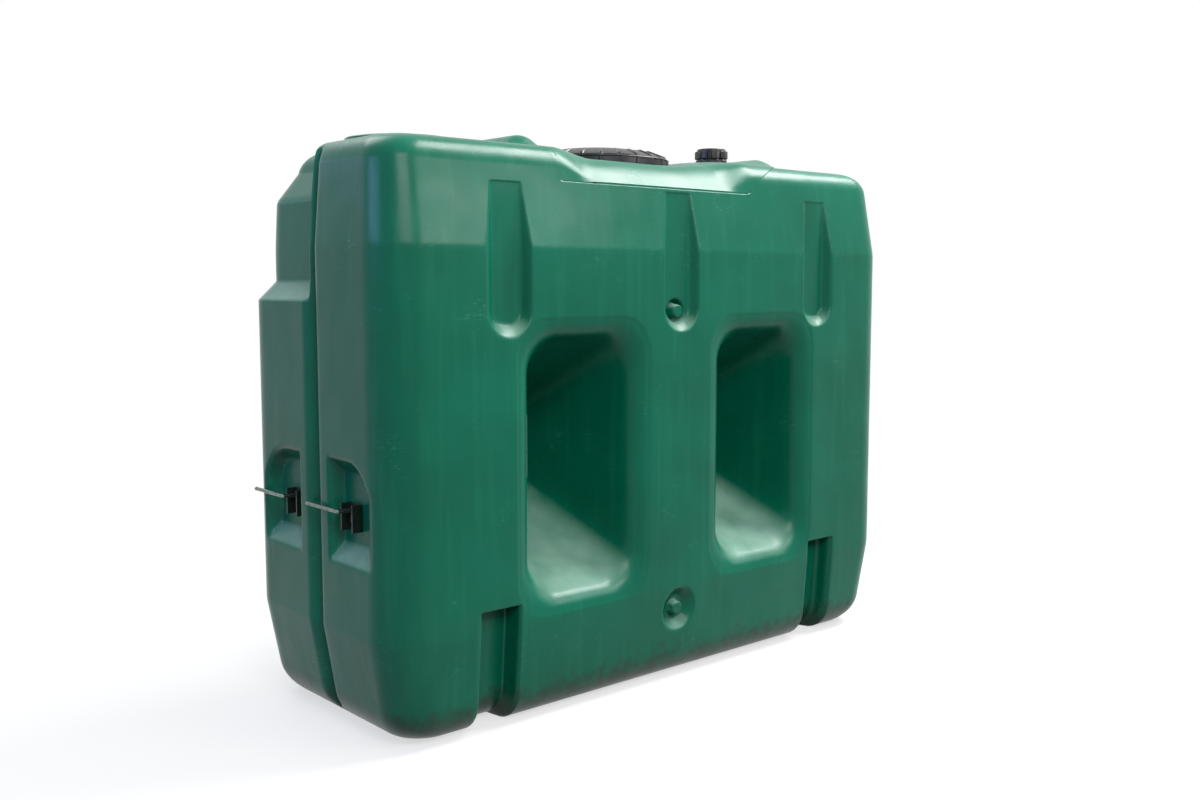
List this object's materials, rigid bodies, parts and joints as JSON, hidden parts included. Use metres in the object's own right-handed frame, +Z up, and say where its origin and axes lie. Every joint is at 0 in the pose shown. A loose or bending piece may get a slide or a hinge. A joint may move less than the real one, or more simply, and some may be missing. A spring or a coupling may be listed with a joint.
{
  "type": "rainwater tank",
  "caption": "Slim upright rainwater tank moulded in green polyethylene, with hourglass windows through it, grooved faces, a ribbed screw lid and a filler cap on a lowered deck.",
  "frame": {"origin": "on the ground under the middle of the tank", "axes": "+X along the tank to its filler end, +Y from the front face to the back, +Z up"},
  "size_m": [1.7355, 0.66, 1.416],
  "materials": {
    "green_polyethylene": "satin",
    "black_polypropylene": "satin",
    "gasket_rubber": "matte",
    "black_steel": "satin",
    "zinc_steel": "satin"
  },
  "bodies": {
    "tank": {"base_left": "green_polyethylene", "base_middle": "green_polyethylene", "base_right": "green_polyethylene", "left_end_front": "green_polyethylene", "right_end_front": "green_polyethylene", "left_end_back": "green_polyethylene", "right_end_back": "green_polyethylene", "front_middle_wall": "green_polyethylene", "back_middle_wall": "green_polyethylene", "front_left_lower_wall": "green_polyethylene", "front_left_side_wall": "green_polyethylene", "front_left_upper_wall": "green_polyethylene", "front_right_lower_wall": "green_polyethylene", "front_right_side_wall": "green_polyethylene", "front_right_upper_wall": "green_polyethylene", "back_left_lower_wall": "green_polyethylene", "back_left_side_wall": "green_polyethylene", "back_left_upper_wall": "green_polyethylene", "back_right_lower_wall": "green_polyethylene", "back_right_side_wall": "green_polyethylene", "back_right_upper_wall": "green_polyethylene", "left_window_sill": "green_polyethylene", "left_window_head": "green_polyethylene", "left_window_outer_side": "green_polyethylene", "left_window_inner_side": "green_polyethylene", "right_window_sill": "green_polyethylene", "right_window_head": "green_polyethylene", "right_window_outer_side": "green_polyethylene", "right_window_inner_side": "green_polyethylene", "roof_left": "green_polyethylene", "roof_deck": "green_polyethylene", "roof_ramp": "green_polyethylene", "roof_right": "green_polyethylene", "manhole_neck": "green_polyethylene", "filler_neck": "black_polypropylene", "front_bracket": "black_steel", "front_bolt": "zinc_steel", "front_rod": "zinc_steel", "back_bracket": "black_steel", "back_bolt": "zinc_steel", "back_rod": "zinc_steel"},
    "lid": {"manhole_lid": "black_polypropylene", "lid_gasket": "gasket_rubber"},
    "cap": {"filler_cap": "black_polypropylene"}
  },
  "joints": [
    {"name": "lid_turn", "type": "hinge", "parent": "tank", "child": "lid", "pos_m": [0, 0, 1.37], "axis": [0, 0, 1], "range_deg": [0, 360]},
    {"name": "cap_turn", "type": "hinge", "parent": "tank", "child": "cap", "pos_m": [0.45, 0, 1.4], "axis": [0, 0, 1], "range_deg": [0, 720]}
  ]
}
